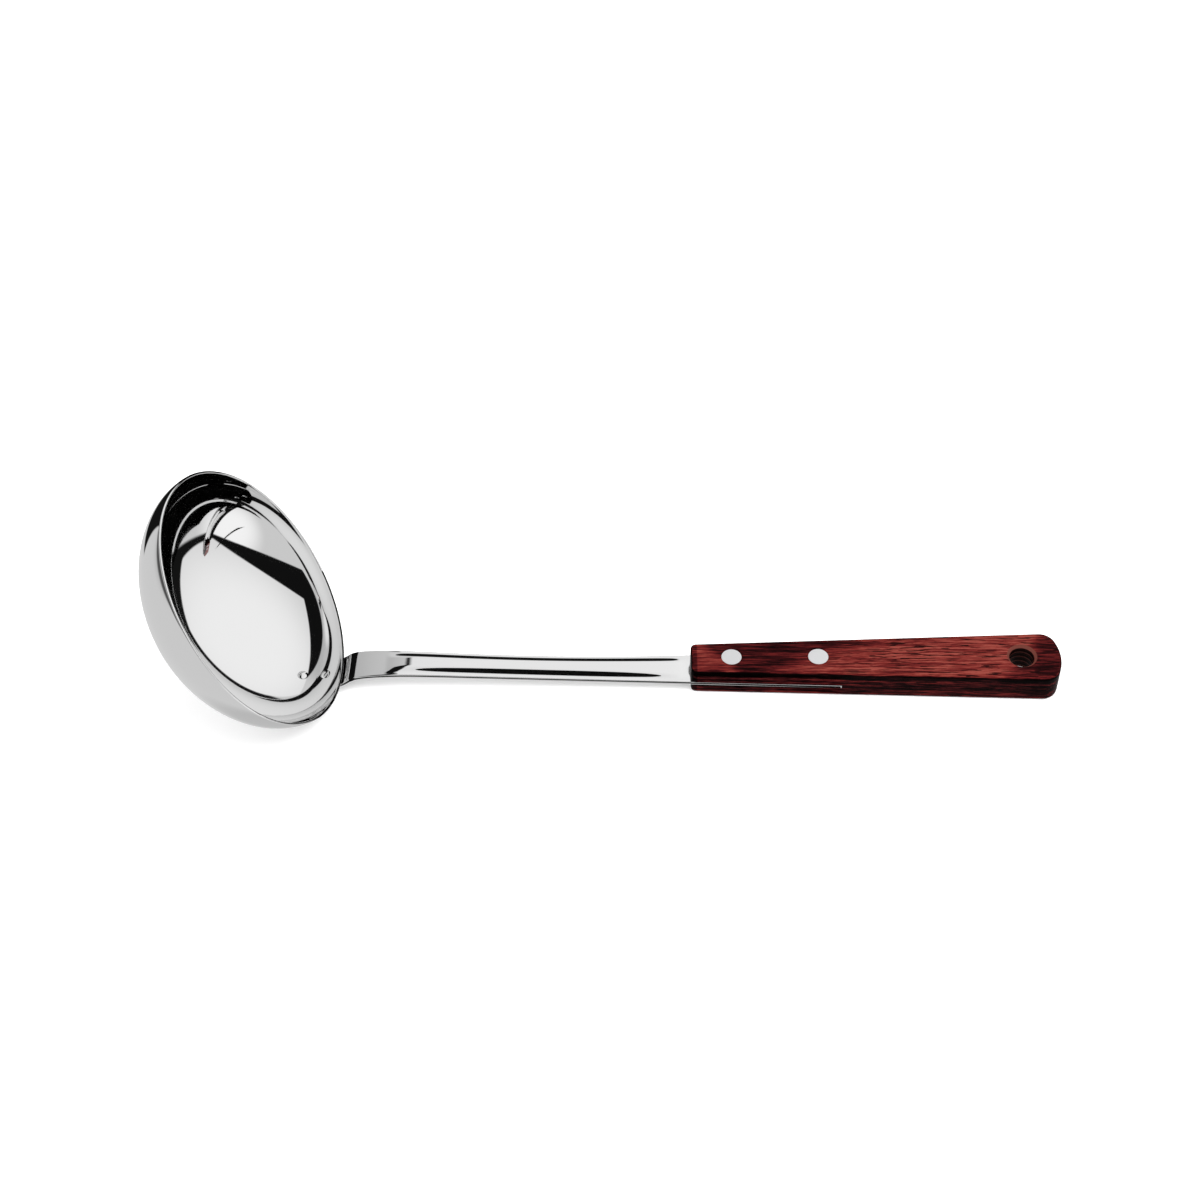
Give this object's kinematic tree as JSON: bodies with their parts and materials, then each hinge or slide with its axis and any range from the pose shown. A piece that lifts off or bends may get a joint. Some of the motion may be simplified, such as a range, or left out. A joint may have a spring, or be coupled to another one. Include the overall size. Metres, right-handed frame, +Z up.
{
  "type": "soup ladle",
  "caption": "Soup ladle: a deep round steel bowl, tilted and spot-welded to a ribbed, arched steel shank whose tang is riveted into a tapered wooden handle with a hanging hole.",
  "frame": {"origin": "on the table under the middle of the ladle's length, as it lies with the handle's underside and the bowl's welded pad on the table", "axes": "+X along the handle from the bowl to the butt, +Z up and along the hanging hole, +Y across the handle"},
  "size_m": [0.3312, 0.0984, 0.0869],
  "materials": {
    "bowl_steel": "mirror-polished stainless steel, bare, pressed sheet",
    "shank_steel": "mirror-polished stainless steel, bare, stamped strip",
    "handle_wood": "resin-treated dark red hardwood with near-black streaks, polished to a gloss",
    "rivet_metal": "ground flush, fine satin",
    "weld_metal": "polished weld nugget"
  },
  "bodies": {
    "root": {"bowl": "bowl_steel", "shank": "shank_steel", "handle": "handle_wood", "rivet_front": "rivet_metal", "rivet_rear": "rivet_metal", "spot_weld_rim": "weld_metal", "spot_weld_inner": "weld_metal"}
  },
  "joints": []
}
